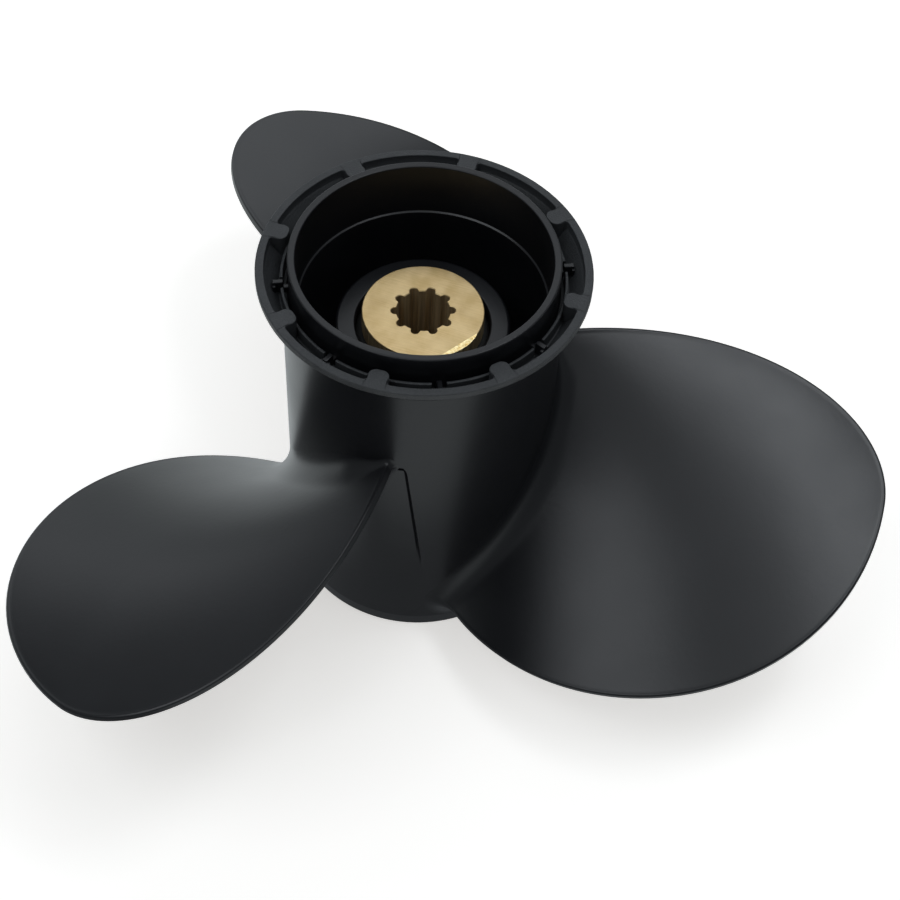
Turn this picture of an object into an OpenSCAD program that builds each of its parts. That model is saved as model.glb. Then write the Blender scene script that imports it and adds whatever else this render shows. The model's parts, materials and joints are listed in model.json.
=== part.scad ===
// Three-blade through-hub exhaust propeller with a rubber-bushed brass spline hub.
// Millimetres. The shaft axis is Z. Z = 0 is the flat top of the flare ring, where the
// gearcase spigot begins, and +Z points out of that end. Blade 1 points along +X.

/* [Blades] */
// Diameter over the blade tips
prop_d = 235; // [225:1:250]
// Pitch at the blade root
pitch_root = 220; // [180:1:260]
// Pitch at the blade tip
pitch_tip = 200; // [180:1:260]
// Angle from a blade's reference line to the leading end of its root
lead_angle = 38.5; // [30:0.5:40]
// Angle from a blade's reference line to the trailing end of its root
trail_angle = 55.5; // [45:0.5:58]
// Angle from a blade's reference line to its tip, towards the leading edge
tip_angle = 7.5; // [0:0.5:12]
// Fullness of the leading edge's curve
lead_fullness = 1.07; // [0.9:0.01:1.4]
// Fullness of the trailing edge's curve
trail_fullness = 1.15; // [0.9:0.01:1.4]
// Height of a blade's reference line at the root
blade_z = -56.4; // [-60:0.1:-52]
// How far the tip falls back from the root
tip_drop = 1.4; // [0:0.1:6]
// How far the middle of the blade bows towards the ring
blade_bow = 1.3; // [0:0.1:3]
// Greatest blade thickness at the root
root_thickness = 7; // [5:0.1:9]
// Greatest blade thickness at the tip
tip_thickness = 2.8; // [2.2:0.1:4]
// Thickness of the blade's edges
edge_thickness = 1.5; // [1:0.1:2]
// Radius of the fillet where a blade meets the barrel
root_fillet = 6; // [3:0.5:7]

/* [Barrel] */
// Outside diameter of the barrel
barrel_d = 66.2; // [66:0.1:67]
// Bore of the barrel, which carries the exhaust
barrel_bore = 58.4; // [57:0.1:59]
// Length of the barrel below the top of the ring
barrel_length = 101; // [98:0.5:110]
// Diameter of the barrel's aft edge after its taper
barrel_end_d = 65; // [63:0.1:66]
// Height of the taper at the aft edge
end_taper_h = 4.5; // [2:0.5:6]

/* [Gearcase spigot] */
// Outside diameter of the spigot that enters the gearcase
spigot_d = 63; // [62.6:0.1:63.1]
// How far the spigot stands above the ring
spigot_h = 2.9; // [2:0.1:5]
// Bore inside the spigot
socket_bore = 59.4; // [59.2:0.1:60]
// Depth of the spigot's bore below the top of the ring
socket_depth = 11.5; // [9:0.5:14]

/* [Inner hub] */
// Outside diameter of the inner hub
hub_d = 41.8; // [40:0.1:44]
// Bore that holds the rubber bush
hub_bore = 32.2; // [31:0.1:33]
// Depth of the inner hub's face below the top of the ring
hub_face = 19.1; // [18:0.1:21]
// Depth of the inner hub's aft end
hub_end = 84; // [80:0.5:90]
// Hole through the aft end of the inner hub, for the shaft nut
nut_bore = 24; // [23:0.1:25]
// Depth of the shoulder that stops the rubber bush
shoulder_depth = 66; // [64:0.5:70]
// Thickness of the ribs between the inner hub and the barrel
rib_t = 6; // [4:0.5:7]
// Depth where the ribs begin
rib_top = 38; // [30:0.5:45]

/* [Drive bush] */
// Diameter of the brass bush's head
head_d = 29.2; // [28:0.1:30]
// Depth of the brass face below the top of the ring
head_face = 15.3; // [15:0.1:17]
// Thickness of the head
head_h = 5.4; // [4:0.1:5.6]
// Outside diameter of the brass sleeve
sleeve_d = 21; // [19.5:0.1:22]
// Depth of the sleeve's aft end
sleeve_end = 78; // [74:0.5:82]
// Number of spline grooves
spline_n = 10; // [8:1:12]
// Diameter over the roots of the spline grooves
spline_major = 15.2; // [14.8:0.1:15.6]
// Diameter between the tips of the spline teeth
spline_minor = 12.6; // [12:0.1:13]
// Width of a spline groove
groove_w = 2.3; // [2:0.1:2.4]

/* [Flare ring] */
// Outside diameter of the ring
ring_d = 77.9; // [77:0.1:80]
// Width of the ring's flat rim
rim_w = 2.05; // [1.5:0.05:2.5]
// Height of the ring
ring_h = 8.8; // [8.5:0.1:9.5]
// Height of the ring's straight outer edge
rim_h = 1.6; // [1:0.1:2.4]
// Bevel on the rim's outer edge
rim_bevel = 0.4; // [0.2:0.05:0.6]
// Number of pads that bridge the groove
pad_n = 8; // [6:1:8]
// Width of a pad
pad_w = 4.8; // [4:0.1:5.4]
// Distance from the axis to a pad's round inner end
pad_reach = 33.1; // [32.8:0.1:33.4]
// Angle of the first pad from blade 1
pad_angle = 4; // [0:0.5:44]
// Inside diameter of the ring's inner wall
wall_bore = 64.2; // [64:0.1:64.4]
// Outside diameter of the ring's inner wall
wall_d = 67.2; // [67:0.1:67.4]
// Depth of the inner wall's edge below the top of the ring
wall_drop = 3; // [2:0.1:3.4]
// Width of the slots that take the barrel's keys
slot_w = 3.4; // [3:0.1:4]
// Thickness of the barrel's keys
key_t = 1.2; // [1:0.1:1.6]
// Distance from the axis to the outer end of a key
key_reach = 35.1; // [34.6:0.1:35.4]

/* [Hidden] */
$fn = 96;
paint = [0.16, 0.17, 0.18];
moulding = [0.22, 0.23, 0.24];
rubber = [0.07, 0.07, 0.07];
brass = [0.75, 0.64, 0.42];
over = 1;              // how far a cutter runs past what it cuts
blade_gap = 120;       // angle between blades
tip_r = prop_d / 2;
barrel_r = barrel_d / 2;
seat_r = spigot_d / 2 + 0.4;      // the ring's seat, left 0.4 proud of the turned spigot
ring_fit = 0.02;                  // radial gap between the ring and its seat
press_gap = 0.05;                 // radial gap of the rubber bush in its bore and on its sleeve
lip_bevel = 0.3;                  // bevel on the spigot's lip
bore_bevel = 0.5;                 // bevel where the spigot's bore steps in
floor_drop = 1.9;                 // floor of the ring's groove above the flare, measured along Z
seat_h = 2.2;                     // height of the ring's seat
key_top = -2.5;                   // top of a key
key_foot = -5.8;                  // foot of a key
rubber_drop = 0.5;                // top of the rubber below the brass head
around = 18;                      // spaces along each face of a blade section
sections = 18;                    // spaces from the fillet to the blade tip
root_sink = 1;                    // how far a blade reaches into the barrel before it is cut back
fillet_rings = 4;                 // spaces over the height of the root fillet

// How far r lies along the blade, from 0 at the barrel to 1 at the tip
function along(r) = (r - barrel_r) / (tip_r - barrel_r);
// Narrowing of one side of the outline
function narrow(r, fullness) = sqrt(max(0, 1 - pow(max(0, along(r)), fullness)));
function lead(r) = tip_angle + (lead_angle - tip_angle) * narrow(r, lead_fullness);
function trail(r) = tip_angle - (trail_angle + tip_angle) * narrow(r, trail_fullness);
// Rise per degree of turn
function rise(r) = (pitch_root + (pitch_tip - pitch_root) * along(r)) / 360;
function reference_z(r) = blade_z - tip_drop * along(r) + 4 * blade_bow * along(r) * (1 - along(r));
// Slope of the blade's helix
function slope(r) = atan(rise(r) * 180 / PI / r);
// How far the root fillet stands off the blade at r
function flare(r) = let (d = min(root_fillet, max(0, r - barrel_r)))
    root_fillet - sqrt(pow(root_fillet, 2) - pow(root_fillet - d, 2));
// The fillet stands off the faces, and turns to stand off the edges at the ends of a section
function end_share(c) = pow(c, 8) * sign(c);
function face_share(c) = sqrt(max(0, 1 - pow(c, 16)));
// Half thickness at r and at c, which runs from -1 at the trailing edge to 1 at the leading edge
function half_t(r, c) = let (full = root_thickness + (tip_thickness - root_thickness) * along(r))
    edge_thickness / 2 + (full - edge_thickness) / 2 * pow(max(0, 1 - c * c), 0.7)
    + flare(r) * face_share(c);
// The point at r and c, on the side that faces the ring (1) or faces away from it (-1)
function blade_point(r, c, side) = let (
    mean = (lead(r) + trail(r)) / 2 + (lead(r) - trail(r)) / 2 * c,
    edge = flare(r) * end_share(c),
    h = side * half_t(r, c),
    turn = (edge * cos(slope(r)) - h * sin(slope(r))) / r * 180 / PI,
    z = reference_z(r) + rise(r) * mean + edge * sin(slope(r)) + h * cos(slope(r)))
    [r * cos(mean + turn), r * sin(mean + turn), z];
function fillet_r(i) = barrel_r + root_fillet * (1 - cos(90 * i / fillet_rings));
function outer_r(i) = barrel_r + root_fillet
    + (tip_r - 0.05 - barrel_r - root_fillet) * (1 - pow(1 - i / sections, 2));

module on_axis(angle) {
    rotate([0, 0, angle]) children();
}

// The blade is sunk into the barrel and then cut back to the barrel's outside
module blade() {
    difference() {
        blade_skin();
        translate([0, 0, -barrel_length])
            cylinder(h = barrel_length, r = barrel_r);
    }
}

module blade_skin() {
    radii = concat([barrel_r - root_sink], [for (i = [1:fillet_rings - 1]) fillet_r(i)],
        [for (i = [0:sections]) outer_r(i)]);
    rings = len(radii);
    ring_points = 2 * around + 2;
    points = [for (r = radii) each concat(
        [for (i = [0:around]) blade_point(r, -cos(180 * i / around), 1)],
        [for (i = [0:around]) blade_point(r, cos(180 * i / around), -1)])];
    // A cap is a strip of quads from one face of the blade to the other
    root_cap = [for (i = [0:around - 1])
        [i, i + 1, ring_points - 2 - i, ring_points - 1 - i]];
    tip_cap = [for (quad = root_cap) [for (k = [3:-1:0]) quad[k] + (rings - 1) * ring_points]];
    sides = [for (ring = [0:rings - 2], i = [0:ring_points - 1])
        let (next = (i + 1) % ring_points, base = ring * ring_points)
        [base + i, base + ring_points + i, base + ring_points + next, base + next]];
    faces = [for (quad = concat(root_cap, tip_cap, sides))
        each [[quad[0], quad[1], quad[2]], [quad[0], quad[2], quad[3]]]];
    polyhedron(points, faces, convexity = 6);
}

module barrel() {
    color(paint) {
        rotate_extrude()
            polygon([
                [barrel_bore / 2, -socket_depth - bore_bevel],
                [socket_bore / 2, -socket_depth],
                [socket_bore / 2, spigot_h],
                [spigot_d / 2 - lip_bevel, spigot_h],
                [spigot_d / 2, spigot_h - lip_bevel],
                [spigot_d / 2, 0],
                [seat_r, 0],
                [seat_r, -ring_h],
                [barrel_r, -ring_h],
                [barrel_r, end_taper_h - barrel_length],
                [barrel_end_d / 2, -barrel_length],
                [barrel_bore / 2, -barrel_length]
            ]);
        for (i = [0:pad_n - 1])
            on_axis(pad_angle + (i + 0.5) * 360 / pad_n)
                translate([seat_r - over, -key_t / 2, key_foot])
                    cube([key_reach - seat_r + over, key_t, key_top - key_foot]);
    }
}

module inner_hub() {
    color(paint)
        rotate_extrude()
            polygon([
                [hub_bore / 2, -hub_face],
                [hub_d / 2, -hub_face],
                [hub_d / 2, -hub_end],
                [nut_bore / 2, -hub_end],
                [nut_bore / 2, -shoulder_depth],
                [hub_bore / 2, -shoulder_depth]
            ]);
}

// One rib, cut to the inner hub's outside and the barrel's bore
module rib(index) {
    color(paint)
        difference() {
            intersection() {
                on_axis((index - 1) * blade_gap)
                    translate([0, -rib_t / 2, -hub_end])
                        cube([barrel_r, rib_t, hub_end - rib_top]);
                translate([0, 0, -hub_end - over])
                    cylinder(h = hub_end, d = barrel_bore);
            }
            translate([0, 0, -hub_end - over])
                cylinder(h = hub_end, d = hub_d);
        }
}

module rib_1() { rib(1); }
module rib_2() { rib(2); }
module rib_3() { rib(3); }

module blade_1() { color(paint) blade(); }
module blade_2() { color(paint) on_axis(blade_gap) blade(); }
module blade_3() { color(paint) on_axis(2 * blade_gap) blade(); }

// Plan of a pad: a bar with a round inner end
module pad_plan() {
    translate([pad_reach + pad_w / 2, 0])
        circle(d = pad_w);
    translate([pad_reach + pad_w / 2, -pad_w / 2])
        square([ring_d / 2 - rim_w / 2 - pad_reach - pad_w / 2, pad_w]);
}

// The ring's section with its groove filled in
module ring_solid() {
    rotate_extrude()
        polygon([
            [seat_r + ring_fit, -ring_h],
            [barrel_r + ring_fit, -ring_h],
            [ring_d / 2, -rim_h],
            [ring_d / 2, -rim_bevel],
            [ring_d / 2 - rim_bevel, 0],
            [wall_bore / 2, 0],
            [wall_bore / 2, seat_h - ring_h],
            [seat_r + ring_fit, seat_h - ring_h]
        ]);
}

// The open groove between the rim and the inner wall
module ring_groove() {
    rim_r = ring_d / 2 - rim_w;
    steepness = (ring_h - rim_h) / (ring_d / 2 - barrel_r);
    rotate_extrude()
        polygon([
            [wall_bore / 2 - over, -wall_drop],
            [wall_d / 2, -wall_drop],
            [wall_d / 2, -rim_h - steepness * (ring_d / 2 - wall_d / 2) + floor_drop],
            [rim_r, -rim_h - steepness * rim_w + floor_drop],
            [rim_r, over],
            [wall_bore / 2 - over, over]
        ]);
}

module flare_ring() {
    color(moulding)
        difference() {
            ring_solid();
            difference() {
                ring_groove();
                for (i = [0:pad_n - 1])
                    on_axis(pad_angle + i * 360 / pad_n)
                        translate([0, 0, -ring_h])
                            linear_extrude(ring_h)
                                pad_plan();
            }
            for (i = [0:pad_n - 1])
                on_axis(pad_angle + (i + 0.5) * 360 / pad_n)
                    translate([wall_bore / 2 - over, -slot_w / 2, key_foot])
                        cube([wall_d / 2 - wall_bore / 2 + 2 * over, slot_w, -key_foot]);
        }
}

module rubber_bush() {
    top = -head_face - head_h - rubber_drop;
    color(rubber)
        rotate_extrude()
            polygon([
                [sleeve_d / 2 + press_gap, top],
                [hub_bore / 2 - press_gap, top],
                [hub_bore / 2 - press_gap, -shoulder_depth + rubber_drop],
                [sleeve_d / 2 + press_gap, -shoulder_depth + rubber_drop]
            ]);
}

// Plan of the splined hole
module spline_plan() {
    circle(d = spline_minor);
    for (i = [0:spline_n - 1])
        on_axis(22.5 + i * 360 / spline_n)
            union() {
                translate([spline_major / 2 - groove_w / 2, 0])
                    circle(d = groove_w);
                translate([0, -groove_w / 2])
                    square([spline_major / 2 - groove_w / 2, groove_w]);
            }
}

module drive_bush() {
    bevel = 0.4;
    color(brass)
        difference() {
            rotate_extrude()
                polygon([
                    [0, -head_face],
                    [head_d / 2 - bevel, -head_face],
                    [head_d / 2, -head_face - bevel],
                    [head_d / 2, -head_face - head_h],
                    [sleeve_d / 2, -head_face - head_h],
                    [sleeve_d / 2, -sleeve_end],
                    [0, -sleeve_end]
                ]);
            translate([0, 0, -sleeve_end - over])
                linear_extrude(sleeve_end)
                    spline_plan();
        }
}

barrel();
inner_hub();
rib_1();
rib_2();
rib_3();
blade_1();
blade_2();
blade_3();
flare_ring();
rubber_bush();
drive_bush();
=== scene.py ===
"""Looks for a three-blade outboard propeller: a painted casting, a moulded ring and a brass hub.

Lengths are in millimetres until a mesh is finished, when finish_piece() scales it to the frame's
units.
"""
import bmesh
import bpy
import json
import math
from mathutils import Matrix, Vector


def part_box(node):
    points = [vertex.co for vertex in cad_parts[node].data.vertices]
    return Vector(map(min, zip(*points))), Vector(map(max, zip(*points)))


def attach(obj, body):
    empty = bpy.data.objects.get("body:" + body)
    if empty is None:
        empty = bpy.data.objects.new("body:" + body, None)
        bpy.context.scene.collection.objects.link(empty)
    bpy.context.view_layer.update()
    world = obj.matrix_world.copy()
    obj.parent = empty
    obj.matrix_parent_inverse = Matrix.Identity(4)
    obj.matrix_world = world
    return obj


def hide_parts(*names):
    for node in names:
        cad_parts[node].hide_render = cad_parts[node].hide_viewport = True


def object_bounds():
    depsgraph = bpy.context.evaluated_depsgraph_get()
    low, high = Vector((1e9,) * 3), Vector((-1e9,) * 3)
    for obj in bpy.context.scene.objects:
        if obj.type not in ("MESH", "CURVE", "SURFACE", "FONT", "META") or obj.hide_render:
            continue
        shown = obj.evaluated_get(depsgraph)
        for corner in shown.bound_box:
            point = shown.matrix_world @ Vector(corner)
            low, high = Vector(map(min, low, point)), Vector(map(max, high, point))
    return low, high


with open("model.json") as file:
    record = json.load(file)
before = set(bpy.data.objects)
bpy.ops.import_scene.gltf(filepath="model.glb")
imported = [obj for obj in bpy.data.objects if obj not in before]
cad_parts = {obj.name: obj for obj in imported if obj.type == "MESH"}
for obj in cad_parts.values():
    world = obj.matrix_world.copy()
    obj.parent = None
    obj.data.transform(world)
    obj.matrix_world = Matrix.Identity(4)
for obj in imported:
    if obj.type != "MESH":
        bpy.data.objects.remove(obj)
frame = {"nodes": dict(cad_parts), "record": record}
cad_low, cad_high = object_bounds()

MM = 1000.0                     # millimetres in a metre
Z = Vector((0, 0, 1))
FULL = 2 * math.pi


# ---------------------------------------------------------------- sizes, from the frame

def low(node):
    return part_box(node)[0] * MM


def high(node):
    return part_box(node)[1] * MM


def mount(name):
    return next(m for m in frame["record"]["mounts"] if m["name"] == name)


BODY = "propeller"
BLADES = ("blade_1", "blade_2", "blade_3")
BLADE_TURN = math.radians(120)
TIP_R = max(v.co.xy.length for v in frame["nodes"]["blade_1"].data.vertices) * MM
SPIGOT_R = mount("gearcase_spigot")["dims"]["r_mm"]
SPIGOT_TOP = high("barrel").z
BARREL_END = low("barrel").z
SOCKET_R = mount("gearcase_socket")["dims"]["r_mm"]
RING_R = high("flare_ring").x
RING_LOW = low("flare_ring").z
HUB_R = high("inner_hub").x
HUB_TOP = high("inner_hub").z
HUB_END = low("inner_hub").z
HEAD_R = high("drive_bush").x
HEAD_TOP = high("drive_bush").z
SLEEVE_END = low("drive_bush").z
RUBBER_TOP = high("rubber_bush").z
RUBBER_R = high("rubber_bush").x


def radius_near(node, z, pick):
    """The largest or smallest radius (pick is max or min) of a node's points near a height."""
    return pick(v.co.xy.length for v in frame["nodes"][node].data.vertices
                if abs(v.co.z * MM - z) < 1.0) * MM


BARREL_R = radius_near("barrel", RING_LOW, max)
BARREL_END_R = radius_near("barrel", BARREL_END, max)
BARREL_BORE_R = radius_near("barrel", BARREL_END, min)
SEAT_R = radius_near("barrel", 0, max)
HUB_BORE_R = radius_near("inner_hub", HUB_TOP, min)
NUT_BORE_R = radius_near("inner_hub", HUB_END, min)
SLEEVE_R = radius_near("drive_bush", SLEEVE_END, max)
STEP_Z = -11.5                  # depth where the spigot's bore steps in
SHOULDER_Z = -66.0              # shoulder that stops the rubber bush

# Blade shape, as in the design
PITCH_ROOT = 220.0
PITCH_TIP = 200.0
LEAD_ANGLE = 38.5
TRAIL_ANGLE = 55.5
TIP_ANGLE = 7.5
LEAD_FULLNESS = 1.07
TRAIL_FULLNESS = 1.15
BLADE_Z = -56.4
TIP_DROP = 1.4
BLADE_BOW = 1.3
ROOT_THICKNESS = 7.0
TIP_THICKNESS = 2.8
EDGE_ROOT = 1.9                 # edge thickness at the root
EDGE_TIP = 1.5                  # edge thickness at the tip
EDGE_ROUND = 0.4                # rounding of the edge's corners
BEAD_RISE = 0.09                # the enamel gathers in a bead along the edge
BEAD_IN = 0.55
BEAD_WIDTH = 0.3
ROOT_FILLET = 6.0
LEAD_FILLET = 1.4               # the fillet dies away to this at the leading edge
LEAD_SPREAD_TOP = 13.0          # over this distance on the side that faces the ring
LEAD_SPREAD_UNDER = 16.0        # and over this on the other
ROOT_SINK = 1.0                 # how far a blade's foot sinks into the barrel

# Ring and keys, as in the design
RIM_W = 2.05
RIM_H = 1.6
RIM_BEVEL = 0.4
PADS = 8
PAD_W = 4.8
PAD_REACH = 33.1
PAD_ANGLE = 4.0
WALL_IN = 32.6
WALL_OUT = 33.35
WALL_TOP = -3.0
FLOOR_DROP = 1.9
SEAT_H = 2.2
RING_FIT = 0.02                 # radial gap between the ring and its seat
SLOT_W = 3.4
KEY_T = 1.2
KEY_REACH = 35.1
KEY_INNER = 32.5                # a key stands at its full height from here outwards
KEY_HEAD_T = 0.8                # the crosspiece at a key's outer end
KEY_HEAD_W = 2.6
KEY_TOP = -2.5
KEY_FOOT = -5.8

# Spline, as in the design
TEETH = 10
GROOVE_ANGLE = 22.5
GROOVE_R = 7.6
TOOTH_R = 6.3
HEAD_H = 5.4


# ---------------------------------------------------------------- materials

def linear(hex_colour):
    """An sRGB hex colour as linear RGBA."""
    parts = [int(hex_colour[i:i + 2], 16) / 255 for i in (1, 3, 5)]
    return [c / 12.92 if c <= 0.04045 else ((c + 0.055) / 1.055) ** 2.4 for c in parts] + [1.0]


def feed(tree, node, **inputs):
    """Sets or links a node's inputs."""
    for name, value in inputs.items():
        socket = node.inputs[name.replace("_", " ")]
        if isinstance(value, bpy.types.NodeSocket):
            tree.links.new(value, socket)
        else:
            socket.default_value = value


def add(tree, kind, settings=None, **inputs):
    """Adds a node, sets its properties and feeds its inputs."""
    node = tree.nodes.new(kind)
    for name, value in (settings or {}).items():
        setattr(node, name, value)
    feed(tree, node, **inputs)
    return node


def new_material(name):
    material = bpy.data.materials.new(name)
    material.use_nodes = True
    tree = material.node_tree
    shader = tree.nodes["Principled BSDF"]
    place = add(tree, "ShaderNodeTexCoord").outputs["Object"]
    return material, tree, shader, place


def ramp(tree, factor, low_at, low_colour, high_at, high_colour):
    """A two-colour ramp."""
    node = add(tree, "ShaderNodeValToRGB", Fac=factor)
    first, last = node.color_ramp.elements
    first.position, first.color = low_at, low_colour
    last.position, last.color = high_at, high_colour
    return node.outputs["Color"]


def grey(value):
    return [value, value, value, 1.0]


def per_mm(size):
    """Texture scale that gives features of about this size in millimetres."""
    return MM / size


def noise(tree, place, size, detail):
    """Noise with features of about a size in millimetres."""
    node = add(tree, "ShaderNodeTexNoise", Vector=place, Scale=per_mm(size), Detail=detail)
    return node.outputs["Fac"]


def stretched(tree, place, scale):
    """Texture space with its axes scaled. A small number draws the pattern out along that axis."""
    return add(tree, "ShaderNodeMapping", Vector=place, Scale=scale).outputs["Vector"]


def bump(tree, height, strength, depth, **under):
    """A bump of a depth in millimetres. Give Normal to put it on top of another."""
    return add(tree, "ShaderNodeBump", Height=height, Strength=strength, Distance=depth / MM,
               **under).outputs["Normal"]


WAVE_TURN = 20.0                # the wave texture turns through this many radians in a unit
SCRATCH_SHARE = 0.6             # how much scratches colour the brass, next to its stains


def satin_black_paint():
    """Sprayed and baked satin enamel on a die casting: soft wide highlights, faint orange peel
    and a little dry overspray that varies the gloss."""
    material, tree, shader, place = new_material("satin_black_enamel")
    cloud = noise(tree, place, 24, 3.0)
    peel = bump(tree, noise(tree, place, 1.4, 2.0), 0.12, 0.12)
    grit = bump(tree, noise(tree, place, 0.5, 3.0), 0.10, 0.05, Normal=peel)
    colour = ramp(tree, cloud, 0.35, linear("#121316"), 0.7, linear("#16171A"))
    rough = ramp(tree, cloud, 0.3, grey(0.30), 0.7, grey(0.35))
    feed(tree, shader, Base_Color=colour, Roughness=rough, Normal=grit, IOR=1.5)
    return material


def moulded_nylon():
    """Black glass-filled nylon from a spark-eroded mould: a fine matt grain that scatters light."""
    material, tree, shader, place = new_material("moulded_black_nylon")
    grain = noise(tree, place, 0.45, 4.0)
    cloud = noise(tree, place, 9, 3.0)
    colour = ramp(tree, cloud, 0.3, linear("#2E3032"), 0.7, linear("#383A3C"))
    rough = ramp(tree, grain, 0.3, grey(0.5), 0.7, grey(0.62))
    matt = bump(tree, grain, 0.7, 0.2)
    feed(tree, shader, Base_Color=colour, Roughness=rough, Normal=matt, IOR=1.53)
    return material


def turned_brass():
    """Free-cutting brass, faced on a lathe: fine rings, a satin sheen and a few dull stains."""
    material, tree, shader, place = new_material("turned_brass")
    # The rings go round the axis, so the height is left out
    level = add(tree, "ShaderNodeVectorMath", {"operation": "MULTIPLY"})
    tree.links.new(place, level.inputs[0])
    level.inputs[1].default_value = (1, 1, 0)
    rings = add(tree, "ShaderNodeTexWave", {"wave_type": "RINGS", "rings_direction": "SPHERICAL"},
                Vector=level.outputs["Vector"], Scale=per_mm(0.5) * FULL / WAVE_TURN,
                Distortion=1.5, Detail=2.0)
    stain = noise(tree, place, 5, 4.0)
    scratch = noise(tree, stretched(tree, place, (0.06, 1.0, 1.0)), 0.35, 3.0)
    mottle = add(tree, "ShaderNodeMath", {"operation": "MULTIPLY_ADD"})
    tree.links.new(scratch, mottle.inputs[0])
    mottle.inputs[1].default_value = SCRATCH_SHARE
    tree.links.new(stain, mottle.inputs[2])
    colour = ramp(tree, mottle.outputs["Value"], 0.62, linear("#D9BB84"), 0.98, linear("#F2D6A2"))
    rough = ramp(tree, scratch, 0.35, grey(0.34), 0.7, grey(0.46))
    coarse = bump(tree, rings.outputs["Fac"], 0.08, 0.04)
    fine = bump(tree, scratch, 0.12, 0.03, Normal=coarse)
    feed(tree, shader, Base_Color=colour, Roughness=rough, Normal=fine, Metallic=1.0)
    return material


def torn_brass():
    """Brass where a cutter tore the edge: coarse, bright and ragged."""
    material, tree, shader, place = new_material("torn_brass")
    tear = noise(tree, place, 0.6, 4.0)
    colour = ramp(tree, tear, 0.35, linear("#DDBB74"), 0.62, linear("#FFEDB8"))
    ragged = bump(tree, tear, 0.5, 0.25)
    feed(tree, shader, Base_Color=colour, Roughness=0.4, Normal=ragged, Metallic=1.0)
    return material


def broached_brass():
    """The broached wall of the spline, under a film of old oil: brown, half dulled, with streaks
    along the cut. The same dark brass is also laid on the side of the head as painted shade."""
    material, tree, shader, place = new_material("oiled_brass_and_painted_shade")
    streak = noise(tree, stretched(tree, place, (1.0, 1.0, 0.04)), 0.9, 3.0)
    colour = ramp(tree, streak, 0.35, linear("#9C8768"), 0.7, linear("#D6BF95"))
    cuts = bump(tree, streak, 0.3, 0.08)
    feed(tree, shader, Base_Color=colour, Roughness=0.45, Normal=cuts, Metallic=0.6)
    return material


def bush_rubber():
    """Matt black moulded rubber with a dusting of talc."""
    material, tree, shader, place = new_material("moulded_rubber")
    dust = noise(tree, place, 1.5, 4.0)
    colour = ramp(tree, dust, 0.4, linear("#0E0E0E"), 0.75, linear("#1A1918"))
    talc = bump(tree, dust, 0.3, 0.1)
    feed(tree, shader, Base_Color=colour, Roughness=0.8, Normal=talc, IOR=1.52)
    return material


PAINT = satin_black_paint()
NYLON = moulded_nylon()
BRASS = turned_brass()
TORN = torn_brass()
OILED_BRASS_AND_PAINTED_SHADE = broached_brass()
RUBBER = bush_rubber()


# ---------------------------------------------------------------- mesh helpers

def around(radius, angle, z):
    return Vector((radius * math.cos(angle), radius * math.sin(angle), z))


def smooth(x):
    """0 below 0, 1 above 1, and a smooth rise between."""
    x = min(1.0, max(0.0, x))
    return x * x * (3 - 2 * x)


def placed(name, data):
    """A new object in the scene."""
    thing = bpy.data.objects.new(name, data)
    bpy.context.scene.collection.objects.link(thing)
    return thing


def finish_piece(name, bm, materials, nodes, body=BODY, sharp=40):
    """Turns a bmesh in millimetres into a piece in metres that rides on a body."""
    bmesh.ops.scale(bm, vec=(1 / MM, 1 / MM, 1 / MM), verts=bm.verts)
    bmesh.ops.recalc_face_normals(bm, faces=bm.faces)
    mesh = bpy.data.meshes.new(name)
    bm.to_mesh(mesh)
    bm.free()
    for material in materials:
        mesh.materials.append(material)
    mesh.polygons.foreach_set("use_smooth", [True] * len(mesh.polygons))
    mesh.set_sharp_from_angle(angle=math.radians(sharp))
    piece = placed(name, mesh)
    shade = piece.modifiers.new("flat faces shade flat", "WEIGHTED_NORMAL")
    shade.keep_sharp = True
    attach(piece, body)
    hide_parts(*nodes)
    return piece


def rounded(corners, steps=4):
    """A closed outline from (x, y, corner radius) points, with each corner turned into an arc."""
    count = len(corners)
    result = []
    for i, (x, y, radius) in enumerate(corners):
        here = Vector((x, y))
        to_last = (Vector(corners[i - 1][:2]) - here).normalized()
        to_next = (Vector(corners[(i + 1) % count][:2]) - here).normalized()
        half = to_last.angle(to_next) / 2
        if radius == 0 or math.pi / 2 - half < 0.01:
            result.append((x, y))
            continue
        centre = here + (to_last + to_next).normalized() * radius / math.sin(half)
        start = here + to_last * radius / math.tan(half) - centre
        sweep = math.copysign(math.pi - 2 * half, -to_last.cross(to_next))
        for step in range(steps + 1):
            turn = Matrix.Rotation(sweep * step / steps, 2)
            result.append(tuple(centre + turn @ start))
    return result


def chain(bm, points):
    """A closed chain of edges through (radius, z) points."""
    verts = [bm.verts.new((r, 0, z)) for r, z in points]
    return verts, [bm.edges.new(pair) for pair in zip(verts, verts[1:] + verts[:1])]


def spun(points, steps=192):
    """A closed outline turned all the way round Z."""
    bm = bmesh.new()
    verts, edges = chain(bm, points)
    bmesh.ops.spin(bm, geom=verts + edges, cent=(0, 0, 0), axis=Z, dvec=(0, 0, 0), angle=FULL,
                   steps=steps, use_merge=True, use_duplicate=False)
    return bm


def part_spun(points, start, sweep, steps):
    """A closed outline turned part of the way round Z from a start angle, with both ends closed."""
    bm = bmesh.new()
    verts, edges = chain(bm, points)
    face = bm.faces.new(verts)
    bmesh.ops.rotate(bm, cent=(0, 0, 0), matrix=Matrix.Rotation(start, 3, Z), verts=verts)
    bmesh.ops.spin(bm, geom=[face], cent=(0, 0, 0), axis=Z, dvec=(0, 0, 0), angle=sweep,
                   steps=steps, use_merge=False, use_duplicate=False)
    return bm


def join(target, source):
    """Adds a bmesh's shape to another's."""
    mesh = bpy.data.meshes.new("joined")
    source.to_mesh(mesh)
    source.free()
    target.from_mesh(mesh)
    bpy.data.meshes.remove(mesh)


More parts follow.
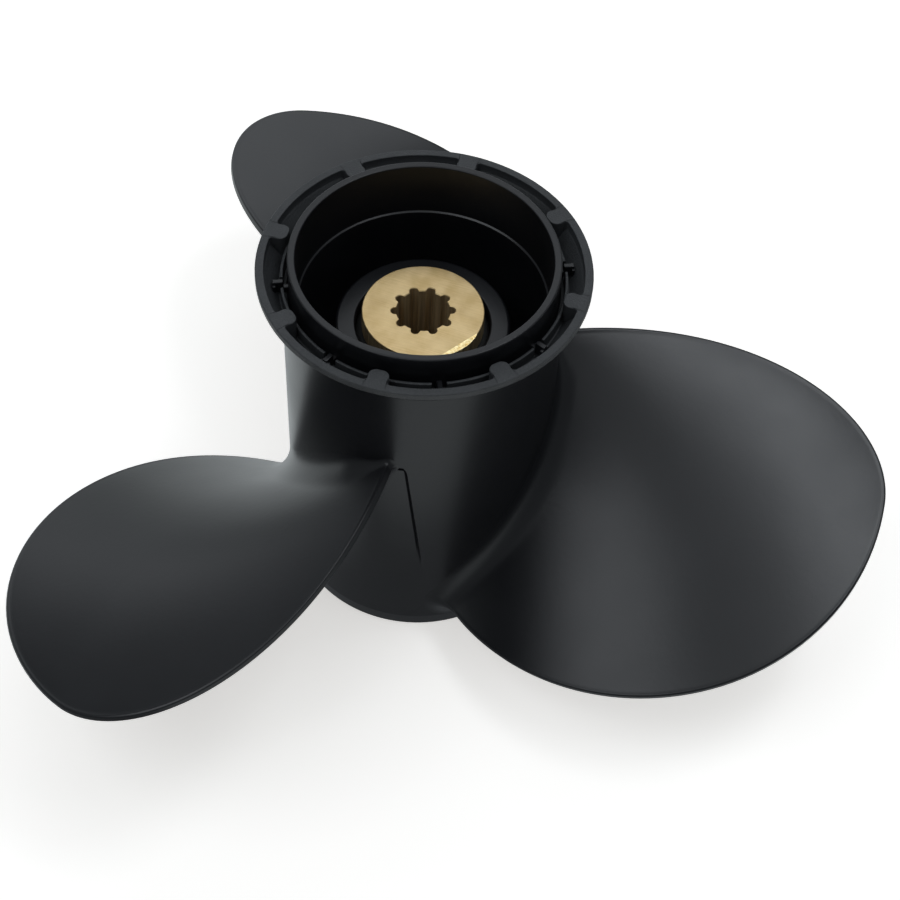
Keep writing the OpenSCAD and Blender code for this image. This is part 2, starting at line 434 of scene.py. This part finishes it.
def stacked(loops):
    """Closed loops with the same number of points, each extruded from the last; the last one
    joins the first."""
    bm = bmesh.new()
    start = bmesh.ops.create_circle(bm, cap_ends=False, radius=1.0, segments=len(loops[0]))["verts"]
    ring = sorted(start, key=lambda v: math.atan2(v.co.y, v.co.x) % FULL)
    first_edges = list(bm.edges)
    edges = first_edges
    for v, point in zip(ring, loops[0]):
        v.co = point
    for loop in loops[1:]:
        made = bmesh.ops.extrude_edge_only(bm, edges=edges)["geom"]
        edges = [part for part in made if isinstance(part, bmesh.types.BMEdge)
                 and not any(v in ring for v in part.verts)]
        fresh = {v for edge in edges for v in edge.verts}
        ring = [next(e.other_vert(v) for e in v.link_edges if e.other_vert(v) in fresh)
                for v in ring]
        for v, point in zip(ring, loop):
            v.co = point
    bmesh.ops.bridge_loops(bm, edges=edges + first_edges)
    return bm


def circle(radius, z, angles):
    """A loop of points at a radius and a height, at the given angles."""
    return [around(radius, a, z) for a in angles]


def rounded_edge(r, z, radius, steps):
    """(radius, z) points round an upper outside edge, from its side to its top."""
    turns = [i * math.pi / 2 / steps for i in range(steps + 1)]
    return [(r - radius * (1 - math.cos(a)), z - radius * (1 - math.sin(a))) for a in turns]


def rounded_box(size, centre, radius, turn=0.0):
    """A box with every edge rounded, turned about Z."""
    bm = bmesh.new()
    bmesh.ops.create_cube(bm, size=1.0)
    bmesh.ops.scale(bm, vec=size, verts=bm.verts)
    bmesh.ops.bevel(bm, geom=bm.edges, affect="EDGES", offset=radius, segments=3, profile=0.5,
                    material=-1)
    bmesh.ops.translate(bm, vec=centre, verts=bm.verts)
    bmesh.ops.rotate(bm, cent=(0, 0, 0), matrix=Matrix.Rotation(turn, 3, Z), verts=bm.verts)
    return bm


# ---------------------------------------------------------------- camera

CAMERA_TURN = math.radians(17.75)
CAMERA_TILT = math.radians(51.80)
CAMERA_ROLL = math.radians(-3.21)
CAMERA_DISTANCE = 417.0         # along the view to the ring's top
CAMERA_RIGHT = 5.80
CAMERA_UP = -42.41
LENS = 72.64


def make_camera():
    camera = placed("camera", bpy.data.cameras.new("camera"))
    camera.data.lens = LENS
    camera.data.sensor_width = 36.0
    turn = Matrix.Rotation(CAMERA_TURN, 4, "Z")
    tilt = Matrix.Rotation(math.pi / 2 - CAMERA_TILT, 4, "X")
    roll = Matrix.Rotation(-CAMERA_ROLL, 4, "Z")
    stand = turn @ tilt @ roll
    offset = Vector((CAMERA_RIGHT, CAMERA_UP, CAMERA_DISTANCE)) / MM
    camera.matrix_world = stand @ Matrix.Translation(offset)
    bpy.context.scene.camera = camera


make_camera()


# ---------------------------------------------------------------- barrel

PARTING_ANGLE = math.radians(48.0)      # a parting line's middle, from its blade
PARTING_TOP = -34.0                     # the step in the casting begins here
PARTING_FADE = -62.0                    # and fades from here
PARTING_END = -80.0
PARTING_MIDDLE = -50.0                  # height of the line's middle
PARTING_SLANT = math.radians(0.204)     # turn for each millimetre down
CORNER_DROP = 2.4                       # the line's rounded top corner
CORNER_TURN = math.radians(1.2)
STEP_DEPTH = 0.4
STEP_FADE = math.radians(20.0)          # the step dies away over this turn
SLANT_FADE = math.radians(30.0)         # and the line's slant over this one
CREASE_DEPTH = 0.9                      # the crease at the foot of the step
CREASE_WIDTH = 0.4
CREASE_COLUMNS = 2                      # columns of points that close up to make it
GATHER_COLUMNS = 10                     # and those behind, over which they spread out again
LEDGE_WIDTH = 1.15                      # the crease is wider and deeper in its level part,
LEDGE_DEPTH = 1.25                      # under the top of the step
ROWS_FROM = -92.0                       # lowest row of points on the barrel's side
ROW_GAP = 2.0
ROWS = 28
ROW_CLOSE = 0.2                         # gap between the rows on each side of the ledge
BARREL_STEPS = 240
TAPER_H = 4.5
SEAT_BEVEL = 0.3
STEP_BEVEL = 0.3
LIP_ROUND = 0.35
KEY_ROUND = 0.25
KEY_OVERLAP = 0.75                      # a key's root runs this far into the spigot and the fin
KEY_HEAD_ROUND = 0.2
KEY_HEAD_SHARE = 0.8                    # height of the crosspiece, as a share of the key's


def barrel_outline():
    corners = [
        (BARREL_BORE_R, BARREL_END, 0.5),
        (BARREL_END_R, BARREL_END, 0.9),
        (BARREL_R, BARREL_END + TAPER_H, 3.0),
        (BARREL_R, RING_LOW, 0.0),
        (SEAT_R, RING_LOW, 0.0),
        (SEAT_R, RING_LOW + SEAT_H, 0.0),
        (SPIGOT_R, RING_LOW + SEAT_H + SEAT_BEVEL, 0.0),
        (SPIGOT_R, SPIGOT_TOP, LIP_ROUND),
        (SOCKET_R, SPIGOT_TOP, LIP_ROUND),
        (SOCKET_R, STEP_Z, 0.2),
        (BARREL_BORE_R, STEP_Z - STEP_BEVEL, 0.2),
    ]
    outline = rounded(corners)
    # Rows of points up the outside for the step in the casting, closest at the ledge
    top = next(i for i, point in enumerate(outline) if point == (BARREL_R, RING_LOW))
    rows = [ROWS_FROM + ROW_GAP * i for i in range(ROWS)]
    drops = (2.6, 1.6, LEDGE_WIDTH + ROW_CLOSE, LEDGE_WIDTH, ROW_CLOSE, 0.0)
    rows += [PARTING_TOP - drop for drop in drops]
    return outline[:top] + [(BARREL_R, z) for z in rows] + outline[top:]


def step_casting(bm):
    """Sets back the outside beside each parting line, where the two halves of the die meet, with a
    crease along the foot of the step."""
    cell = FULL / BARREL_STEPS
    crease = CREASE_WIDTH / BARREL_R
    for v in bm.verts:
        z = v.co.z
        if v.co.xy.length < BARREL_R - 0.01 or z < ROWS_FROM - ROW_GAP:
            continue
        angle = math.atan2(v.co.y, v.co.x)
        off = (angle - PARTING_ANGLE + BLADE_TURN / 2) % BLADE_TURN - BLADE_TURN / 2
        below = PARTING_TOP - max(PARTING_END, min(PARTING_TOP, z))
        slant = PARTING_SLANT * (below - (PARTING_TOP - PARTING_MIDDLE))
        slant -= CORNER_TURN * max(0.0, 1 - below / CORNER_DROP) ** 2
        turn = slant * (1 - smooth(abs(off) / SLANT_FADE))
        columns = round(-off / cell)
        depth = 0.0
        if columns > 0:
            # The columns behind the line close up to form the crease
            gather = min(columns, CREASE_COLUMNS) * (cell - crease)
            turn += gather * (1 - smooth((columns - CREASE_COLUMNS) / GATHER_COLUMNS))
            depth = STEP_DEPTH if below > 0 else 0.0
            if below > 0 and (columns == 1 or below < LEDGE_WIDTH + ROW_CLOSE / 2):
                depth = CREASE_DEPTH if columns == 1 else LEDGE_DEPTH
            depth *= 1 - smooth(-off / STEP_FADE)
            depth *= 1 - smooth((PARTING_FADE - z) / (PARTING_FADE - PARTING_END))
        v.co = around(BARREL_R - depth, angle + turn, z)


def add_key_block(bm, inner_r, outer_r, width, height, radius, turn):
    """Adds a rounded block on the keys' foot, from one radius to another."""
    centre = ((inner_r + outer_r) / 2, 0, KEY_FOOT + height / 2)
    join(bm, rounded_box((outer_r - inner_r, width, height), centre, radius, turn))


def make_barrel():
    bm = spun(barrel_outline(), BARREL_STEPS)
    step_casting(bm)
    height = KEY_TOP - KEY_FOOT
    for i in range(PADS):
        turn = math.radians(PAD_ANGLE) + (i + 0.5) * FULL / PADS
        add_key_block(bm, KEY_INNER, KEY_REACH, KEY_T, height, KEY_ROUND, turn)
        add_key_block(bm, SPIGOT_R - KEY_OVERLAP, KEY_INNER + KEY_OVERLAP, KEY_T, height / 2,
                      KEY_ROUND, turn)
        add_key_block(bm, KEY_REACH - KEY_HEAD_T, KEY_REACH, KEY_HEAD_W, height * KEY_HEAD_SHARE,
                      KEY_HEAD_ROUND, turn)
    finish_piece("barrel_casting", bm, [PAINT], ["barrel"])


make_barrel()


# ---------------------------------------------------------------- inner hub and ribs

HUB_STEPS = 144


def make_inner_hub():
    corners = [
        (HUB_BORE_R, HUB_TOP, 0.5),
        (HUB_R, HUB_TOP, 0.8),
        (HUB_R, HUB_END, 1.0),
        (NUT_BORE_R, HUB_END, 0.5),
        (NUT_BORE_R, SHOULDER_Z, 0.3),
        (HUB_BORE_R, SHOULDER_Z, 0.3),
    ]
    finish_piece("inner_hub_casting", spun(rounded(corners), HUB_STEPS), [PAINT], ["inner_hub"])


def paint_ribs():
    for name in ("rib_1", "rib_2", "rib_3"):
        frame["nodes"][name].data.materials.clear()
        frame["nodes"][name].data.materials.append(PAINT)


make_inner_hub()
paint_ribs()


# ---------------------------------------------------------------- blades

ALONG_STEPS = 150               # columns from one end of the root, round the tip, to the other
FACE_STEPS = 24                 # rows from the middle of a face to its edge
CORNER_STEPS = 5                # rows round each corner of the edge
COLUMN_SPREAD = 1.85            # over 1 it moves columns from the tip towards the root
SPINE_SHORT = 0.36              # how far the middle line stops short of the tip
SPINE_FROM = 0.15               # and where it begins to fall short
BULGE = 0.8                     # fullness of the section from its edge to its middle
TIP_TRIM = 0.02                 # keeps the rounded tip inside the design's circle
ROOT_TUCK = 0.02                # how far the foot of the fillet is tucked into the barrel
MERGE = 0.002                   # points nearer than this, on the middle line, become one


def along(r):
    return (r - BARREL_R) / (TIP_R - BARREL_R)


def outline_angle(share, side):
    """Degrees from the reference line to the outline at a share of the blade's length."""
    end, fullness = (LEAD_ANGLE, LEAD_FULLNESS) if side > 0 else (-TRAIL_ANGLE, TRAIL_FULLNESS)
    return TIP_ANGLE + (end - TIP_ANGLE) * math.sqrt(max(0.0, 1 - share ** fullness))


def blade_point(r, degrees, height, sideways):
    """A point at a radius and an angle, moved off the blade's middle surface and along its helix."""
    share = max(0.0, along(r))
    rise = (PITCH_ROOT + (PITCH_TIP - PITCH_ROOT) * share) / 360
    slope = math.atan2(math.degrees(rise), r)
    z = BLADE_Z - TIP_DROP * share + 4 * BLADE_BOW * share * (1 - share) + rise * degrees
    turn = (sideways * math.cos(slope) - height * math.sin(slope)) / r
    z += sideways * math.sin(slope) + height * math.cos(slope)
    return around(r, math.radians(degrees) + turn, z)


def section_point(column, row):
    """A point of the blade's skin. Columns run round the outline, and rows run from the middle
    of one face, round the edge, to the middle of the other."""
    # The first and last column repeat the root's own, sunk into the barrel
    inner = min(max(column, 1), ALONG_STEPS - 1)
    phase = (inner - 1) / (ALONG_STEPS - 2)
    side = 1 if phase > 0.5 else -1
    share = math.sin(math.pi * phase) ** COLUMN_SPREAD
    rows = FACE_STEPS + CORNER_STEPS
    face = 1 if row <= rows else -1
    row = row if face > 0 else 2 * rows + 1 - row

    # The row runs from a place on the middle line to one on the outline
    edge_r = BARREL_R + (TIP_R - TIP_TRIM - BARREL_R) * share
    spine_share = share * (1 - SPINE_SHORT * smooth((share - SPINE_FROM) / (1 - SPINE_FROM)))
    spine_r = BARREL_R + (TIP_R - BARREL_R) * spine_share
    spine_angle = (outline_angle(spine_share, 1) + outline_angle(spine_share, -1)) / 2
    edge_angle = outline_angle(share, side)
    width = (blade_point(edge_r, edge_angle, 0, 0) - blade_point(spine_r, spine_angle, 0, 0)).length

    # How far in from the outline this point is
    corner = max(0, row - FACE_STEPS) / CORNER_STEPS * math.pi / 2
    inward = max(0.0, 1 - row / FACE_STEPS)
    across = inward ** 2
    distance = EDGE_ROUND * (1 - math.sin(corner)) + (width - EDGE_ROUND) * across
    part = distance / width
    r = edge_r + (spine_r - edge_r) * part
    degrees = edge_angle + (spine_angle - edge_angle) * part

    # Half the thickness here, less the edge's rounding and with its bead
    share_here = max(0.0, along(r))
    full = ROOT_THICKNESS + (TIP_THICKNESS - ROOT_THICKNESS) * share_here
    edge = EDGE_ROOT + (EDGE_TIP - EDGE_ROOT) * share_here
    bulge = (1 - (1 - across) ** 2) ** BULGE
    half = edge / 2 + (full - edge) / 2 * bulge - EDGE_ROUND * (1 - math.cos(corner))
    if row <= FACE_STEPS:
        half += BEAD_RISE * math.exp(-((distance - BEAD_IN) / BEAD_WIDTH) ** 2)

    # The fillet onto the barrel
    fillet = ROOT_FILLET
    if side > 0:
        spread = LEAD_SPREAD_TOP if face > 0 else LEAD_SPREAD_UNDER
        fillet = LEAD_FILLET + (ROOT_FILLET - LEAD_FILLET) * smooth(distance / spread)
    lift = max(0.0, fillet - (r - BARREL_R))
    flare = fillet - math.sqrt(fillet ** 2 - lift ** 2)
    if share < 0.001:
        r -= ROOT_SINK if column != inner else ROOT_TUCK
    return blade_point(r, degrees, face * (half + flare * math.cos(corner)),
                       side * flare * math.sin(corner))


def make_blade(index):
    rows = 2 * (FACE_STEPS + CORNER_STEPS) + 1
    bm = bmesh.new()
    bmesh.ops.create_grid(bm, x_segments=ALONG_STEPS, y_segments=rows, size=1.0)
    for v in bm.verts:
        v.co = section_point(round((v.co.x + 1) / 2 * ALONG_STEPS), round((v.co.y + 1) / 2 * rows))
    bmesh.ops.remove_doubles(bm, verts=bm.verts, dist=MERGE)
    bmesh.ops.holes_fill(bm, edges=[edge for edge in bm.edges if edge.is_boundary], sides=0)
    bmesh.ops.rotate(bm, cent=(0, 0, 0), matrix=Matrix.Rotation(index * BLADE_TURN, 3, Z),
                     verts=bm.verts)
    name = BLADES[index]
    finish_piece(name + "_casting", bm, [PAINT], [name], sharp=50)


for index in range(len(BLADES)):
    make_blade(index)


# ---------------------------------------------------------------- flare ring

STEEPNESS = (-RIM_H - RING_LOW) / (RING_R - BARREL_R)
RIM_IN = RING_R - RIM_W
ROOT_ROUND = 0.7                # fillet where a pad leaves the rim
PAD_ROUND = 1.85                # rounding of a pad's inner corners
PAD_ARC = 13                    # steps round a pad's end
ROOT_ARC = 4                    # steps round a pad's root
RIM_ARC = 10                    # steps along the rim between pads
RIM_ROUND = 0.22                # rounding of the rim's inner edge
RIM_INSET = 0.05                # how far the rim's underside is inside the flare
RIM_DROP = 0.06                 # how far its lower corner hangs below the flare's
RIM_RISE = 0.1                  # height over which that corner is cut back
BEVEL_STEPS = 3
GROOVE_IN = 0.3                 # the groove's floor is flat from this far inside the rim
PAD_SINK = 0.4                  # how far a pad's foot is sunk into what is under it
PAD_LEAST = 0.6                 # least height of a pad above the flare
WEB_R = WALL_OUT + 0.3          # where the pads' body stops, inside the groove's floor
FLARE_IN = 0.4                  # the flare's own edge, inside the rim
WALL_ROUND = 0.25
WALL_SINK = 0.5                 # how far the wall is sunk into its foot
WALL_STEPS = 24


def flare_z(r):
    """Height of the ring's flared underside."""
    return -RIM_H - STEEPNESS * (RING_R - r)


def pad_outline():
    """The rim's inner edge with its pads, as (radius, angle) points all the way round."""
    half = PAD_W / 2
    # The fillet at a pad's root touches the pad's side and the inside of the rim
    root_y = half + ROOT_ROUND
    root_x = math.sqrt((RIM_IN - ROOT_ROUND) ** 2 - root_y ** 2)
    root_turn = math.atan2(root_y, root_x)
    root = []
    for i in range(ROOT_ARC + 1):
        a = root_turn + (-math.pi / 2 - root_turn) * i / ROOT_ARC
        root.append(Vector((root_x, root_y)) + ROOT_ROUND * Vector((math.cos(a), math.sin(a))))
    end = []
    for i in range(PAD_ARC + 1):
        a = math.pi / 2 + math.pi * i / PAD_ARC
        centre = Vector((PAD_REACH + PAD_ROUND, math.copysign(half - PAD_ROUND, math.sin(a))))
        end.append(centre + PAD_ROUND * Vector((math.cos(a), math.sin(a))))
    other_root = [Vector((p.x, -p.y)) for p in root]
    # Once round a pad, anticlockwise
    loop = other_root + end[::-1] + root[::-1]
    edge_angle = FULL / PADS - 2 * root_turn
    points = []
    for k in range(PADS):
        middle = math.radians(PAD_ANGLE) + k * FULL / PADS
        for p in loop:
            points.append((p.length, math.atan2(p.y, p.x) + middle))
        for i in range(1, RIM_ARC):
            points.append((RIM_IN, middle + root_turn + edge_angle * i / RIM_ARC))
    return points


def offset_loop(loop, distance, z_of):
    """A loop moved outwards by a distance, at a height worked out for each point."""
    flat = [Vector((r * math.cos(a), r * math.sin(a))) for r, a in loop]
    count = len(flat)
    result = []
    for i, p in enumerate(flat):
        ahead = (flat[(i + 1) % count] - flat[i - 1]).normalized()
        out = Vector((ahead.y, -ahead.x))
        moved = p + out * distance
        result.append(Vector((moved.x, moved.y, z_of(moved.length))))
    return result


def make_ring():
    """The rim and its pads are one shell, and the flare, with the groove's floor above it, another.
    The wall's eight lengths stand on the flare and leave slots for the keys."""
    inner = pad_outline()
    angles = [a for r, a in inner]

    def floor(r):
        return flare_z(r) + FLOOR_DROP

    outside = [
        (WEB_R, flare_z(WEB_R) + RIM_INSET),
        (RING_R - RIM_INSET, -RIM_H - RIM_DROP),
        (RING_R, -RIM_H + RIM_RISE),
    ]
    outside += rounded_edge(RING_R, 0.0, RIM_BEVEL, BEVEL_STEPS)
    loops = [circle(r, z, angles) for r, z in outside]
    for i in range(BEVEL_STEPS + 1):
        a = i * math.pi / 2 / BEVEL_STEPS
        drop = RIM_ROUND * (1 - math.cos(a))
        loops.append(offset_loop(inner, RIM_ROUND * (1 - math.sin(a)), lambda r: -drop))
    loops.append(offset_loop(inner, 0.0, lambda r: max(floor(r), flare_z(r) + PAD_LEAST) - PAD_SINK))
    loops.append(circle(WEB_R, flare_z(WEB_R) + PAD_LEAST, angles))
    bm = stacked(loops)
    edge_r = RING_R - FLARE_IN
    groove_r = RIM_IN - GROOVE_IN
    flare_corners = [
        (SEAT_R + RING_FIT, RING_LOW, 0.0),
        (edge_r, flare_z(edge_r), 0.0),
        (edge_r, floor(edge_r) - GROOVE_IN, 0.0),
        (groove_r, floor(groove_r), 0.3),
        (WALL_OUT, floor(WALL_OUT), 0.3),
        (WALL_OUT, KEY_FOOT, 0.1),
        (WALL_IN, KEY_FOOT, 0.1),
        (WALL_IN, RING_LOW + SEAT_H, 0.1),
        (SEAT_R + RING_FIT, RING_LOW + SEAT_H, 0.0),
    ]
    join(bm, spun(rounded(flare_corners), BARREL_STEPS))
    wall_foot = KEY_FOOT - WALL_SINK
    wall = rounded([(WALL_IN, wall_foot, 0), (WALL_OUT, wall_foot, 0),
                    (WALL_OUT, WALL_TOP, WALL_ROUND), (WALL_IN, WALL_TOP, WALL_ROUND)])
    slot = SLOT_W / (WALL_IN + WALL_OUT) * 2        # the turn that a slot takes up
    for k in range(PADS):
        start = math.radians(PAD_ANGLE) + (k + 0.5) * FULL / PADS + slot / 2
        join(bm, part_spun(wall, start, FULL / PADS - slot, WALL_STEPS))
    finish_piece("flare_ring_moulding", bm, [NYLON], ["flare_ring"])


make_ring()


# ---------------------------------------------------------------- brass bush and rubber

OIL_AND_PAINTED_SHADE_FACE = 1                  # material indices of the bush
TORN_FACE = 2
BUSH_ROUND = 0.3                # rounding of the head's edge
BUSH_ROUND_STEPS = 4
SLEEVE_BEVEL = 0.5
HEAD_FOOT_BEVEL = 0.4
HOLE_BEVEL = 0.2
HOLE_FOOT_BEVEL = 0.3
THROAT_HALF = 1.05              # half width of a groove where it opens
THROAT_ROUND = 0.3
ROOT_HALF = 1.22                # half width at its root, before the corners are rounded
ROOT_CORNER = 1.05
ROOT_OVER = 0.1                 # the rounded root is cut this much deeper
CHIP_ANGLE = math.radians(-30.0)
CHIP_IN = 1.25                  # how far the torn edge reaches in across the face
CHIP_LEAN = 2.3                 # it faces up more than out
RUBBER_STEPS = 96
RUBBER_GAP = 0.05               # between the rubber and the sleeve
RUBBER_CROWN_IN = 2.5           # the rubber is fullest this far out from the sleeve
RUBBER_DROP = 0.8               # and falls away by this to its corners


def spline_outline():
    """The splined hole, anticlockwise, with each groove a little wider at its root."""
    corners = []
    for k in range(TEETH):
        middle = math.radians(GROOVE_ANGLE) + k * FULL / TEETH
        root_r = GROOVE_R + ROOT_OVER
        for r, half, radius in ((TOOTH_R, -THROAT_HALF, THROAT_ROUND),
                                (root_r, -ROOT_HALF, ROOT_CORNER),
                                (root_r, ROOT_HALF, ROOT_CORNER),
                                (TOOTH_R, THROAT_HALF, THROAT_ROUND)):
            corner = Matrix.Rotation(middle, 2) @ Vector((math.sqrt(r * r - half * half), half))
            corners.append((corner.x, corner.y, radius))
        # The middle of a tooth's tip
        tip = around(TOOTH_R, middle + FULL / TEETH / 2, 0)
        corners.append((tip.x, tip.y, 0))
    return rounded(corners)


def make_drive_bush():
    hole = spline_outline()
    angles = [math.atan2(y, x) for x, y in hole]

    def spline(out, z):
        loop = []
        for x, y in hole:
            p = Vector((x, y))
            p += p.normalized() * out
            loop.append(Vector((p.x, p.y, z)))
        return loop

    head_foot = HEAD_TOP - HEAD_H
    outside = [
        (SLEEVE_R - SLEEVE_BEVEL, SLEEVE_END),
        (SLEEVE_R, SLEEVE_END + SLEEVE_BEVEL),
        (SLEEVE_R, head_foot),
        (HEAD_R - HEAD_FOOT_BEVEL, head_foot),
        (HEAD_R, head_foot + HEAD_FOOT_BEVEL),
    ]
    outside += rounded_edge(HEAD_R, HEAD_TOP, BUSH_ROUND, BUSH_ROUND_STEPS)
    bm = stacked([
        spline(HOLE_FOOT_BEVEL, SLEEVE_END),
        *(circle(r, z, angles) for r, z in outside),
        spline(HOLE_BEVEL, HEAD_TOP),
        spline(0.0, HEAD_TOP - HOLE_BEVEL),
        spline(0.0, SLEEVE_END + HOLE_FOOT_BEVEL),
    ])
    # Oil has darkened the spline, and the side of the head gets the same dark brass as painted shade
    for face in bm.faces:
        centre = face.calc_center_median()
        on_side = centre.xy.length > HEAD_R - 0.1
        if (centre.xy.length < GROOVE_R or on_side) and centre.z < HEAD_TOP - BUSH_ROUND:
            face.material_index = OIL_AND_PAINTED_SHADE_FACE
    # A cutter has torn the edge of the head
    cut_from = Vector((math.cos(CHIP_ANGLE), math.sin(CHIP_ANGLE), 0))
    torn = bmesh.ops.bisect_plane(bm, geom=list(bm.verts) + list(bm.edges) + list(bm.faces),
                                  plane_co=cut_from * (HEAD_R - CHIP_IN) + Z * HEAD_TOP,
                                  plane_no=cut_from + Z * CHIP_LEAN, clear_outer=True,
                                  clear_inner=False)
    rim = [part for part in torn["geom_cut"] if isinstance(part, bmesh.types.BMEdge)]
    filled = bmesh.ops.holes_fill(bm, edges=rim, sides=0)["faces"]
    for face in filled:
        face.material_index = TORN_FACE
    piece = finish_piece("drive_bush_brass", bm, [BRASS, OILED_BRASS_AND_PAINTED_SHADE, TORN], ["drive_bush"],
                         body="drive_bush", sharp=25)
    # The torn face meets the turned ones in a sharp edge all round
    torn_edges = {key for face in piece.data.polygons if face.material_index == TORN_FACE
                  for key in face.edge_keys}
    for edge in piece.data.edges:
        edge.use_edge_sharp = edge.use_edge_sharp or edge.key in torn_edges


def make_rubber():
    foot = low("rubber_bush").z
    inner_r = SLEEVE_R + RUBBER_GAP
    crown_r = inner_r + RUBBER_CROWN_IN
    corners = [
        (inner_r, foot + RUBBER_DROP, 0.4),
        (crown_r, foot, 1.0),
        (RUBBER_R, foot + RUBBER_DROP, 0.6),
        (RUBBER_R, RUBBER_TOP - RUBBER_DROP, 0.6),
        (crown_r, RUBBER_TOP, 1.0),
        (inner_r, RUBBER_TOP - RUBBER_DROP, 0.4),
    ]
    finish_piece("rubber_bush_moulding", spun(rounded(corners), RUBBER_STEPS), [RUBBER],
                 ["rubber_bush"], body="rubber_bush")


make_drive_bush()
make_rubber()


# ---------------------------------------------------------------- floor and light

FLOOR_REACH = 30.0              # metres, so that its edge is on the horizon
FLOOR_GLOW = 0.58               # its own light, which makes it a clean pale sweep
GLOW_LIFT = 0.001               # a light that lies on the floor is this far above it


def make_floor():
    bm = bmesh.new()
    bmesh.ops.create_grid(bm, x_segments=1, y_segments=1, size=FLOOR_REACH)
    bmesh.ops.translate(bm, vec=(0, 0, cad_low[2]), verts=bm.verts)
    mesh = bpy.data.meshes.new("floor")
    bm.to_mesh(mesh)
    bm.free()
    material, tree, shader, place = new_material("pale_floor")
    feed(tree, shader, Base_Color=linear("#FAF8F5"), Roughness=0.9,
         Emission_Color=linear("#FFFDFA"), Emission_Strength=FLOOR_GLOW)
    mesh.materials.append(material)
    floor = placed("floor", mesh)
    # The floor lights the object but leaves the gloss on its sides dark
    floor.visible_glossy = False


def area_light(name, size, radiance, colour):
    """A rectangular light of an even radiance, whatever its size."""
    light = bpy.data.lights.new(name, "AREA")
    light.shape = "RECTANGLE"
    light.size, light.size_y = size
    light.energy = radiance * math.pi * size[0] * size[1]
    light.color = linear(colour)[:3]
    return placed(name, light)


def softbox(name, side, height, distance, size, radiance):
    """A light aimed at the propeller. side is degrees round from the camera's right towards the
    back, and height is degrees above the floor."""
    lamp = area_light(name, size, radiance, "#F2F7FC")
    level, rise = CAMERA_TURN + math.radians(side), math.radians(height)
    lamp.location = around(distance * math.cos(rise), level, distance * math.sin(rise))
    lamp.rotation_euler = (-lamp.location).to_track_quat("-Z", "Y").to_euler()


def floor_glow(name, right, away, radiance):
    """A light lying on the floor that shows only in gloss, as the bright floor there would. right
    and away are its nearest and furthest distances, as the camera sees it."""
    size = (abs(right[1] - right[0]), abs(away[1] - away[0]))
    lamp = area_light(name, size, radiance, "#EEF6F7")
    place = Vector((sum(right) / 2, sum(away) / 2, cad_low[2] + GLOW_LIFT))
    lamp.location = Matrix.Rotation(CAMERA_TURN, 3, Z) @ place
    lamp.rotation_euler = (math.pi, 0, CAMERA_TURN)
    lamp.visible_camera = False
    lamp.visible_diffuse = False


def make_light():
    world = bpy.data.worlds.new("studio")
    world.use_nodes = True
    sky = world.node_tree.nodes["Background"]
    feed(world.node_tree, sky, Color=linear("#EAF1F7"), Strength=0.2)
    bpy.context.scene.world = world
    softbox("left_overhead", -150, 58, 1.0, (0.6, 0.5), 2.0)
    softbox("right_overhead", 19, 66, 1.0, (0.27, 0.27), 5.5)
    softbox("right_fill", -17, 66, 1.0, (0.27, 0.27), 2.9)
    softbox("front_fill", -85, 60, 1.1, (0.75, 0.4), 0.5)
    softbox("top_fill", -60, 84, 1.1, (0.4, 0.4), 0.6)
    softbox("back_overhead", 102, 51, 1.0, (0.9, 0.3), 1.15)
    softbox("back_wall", 101, 20, 1.1, (1.1, 0.5), 0.95)
    floor_glow("floor_left", (-0.7, -0.037), (-0.07, 0.6), 0.8)
    floor_glow("floor_right", (0.06, 0.7), (-0.06, 0.6), 0.8)
    floor_glow("floor_front", (-0.035, 0.35), (-0.45, -0.07), 0.5)
    bpy.context.scene.view_settings.view_transform = "Standard"


make_floor()
make_light()
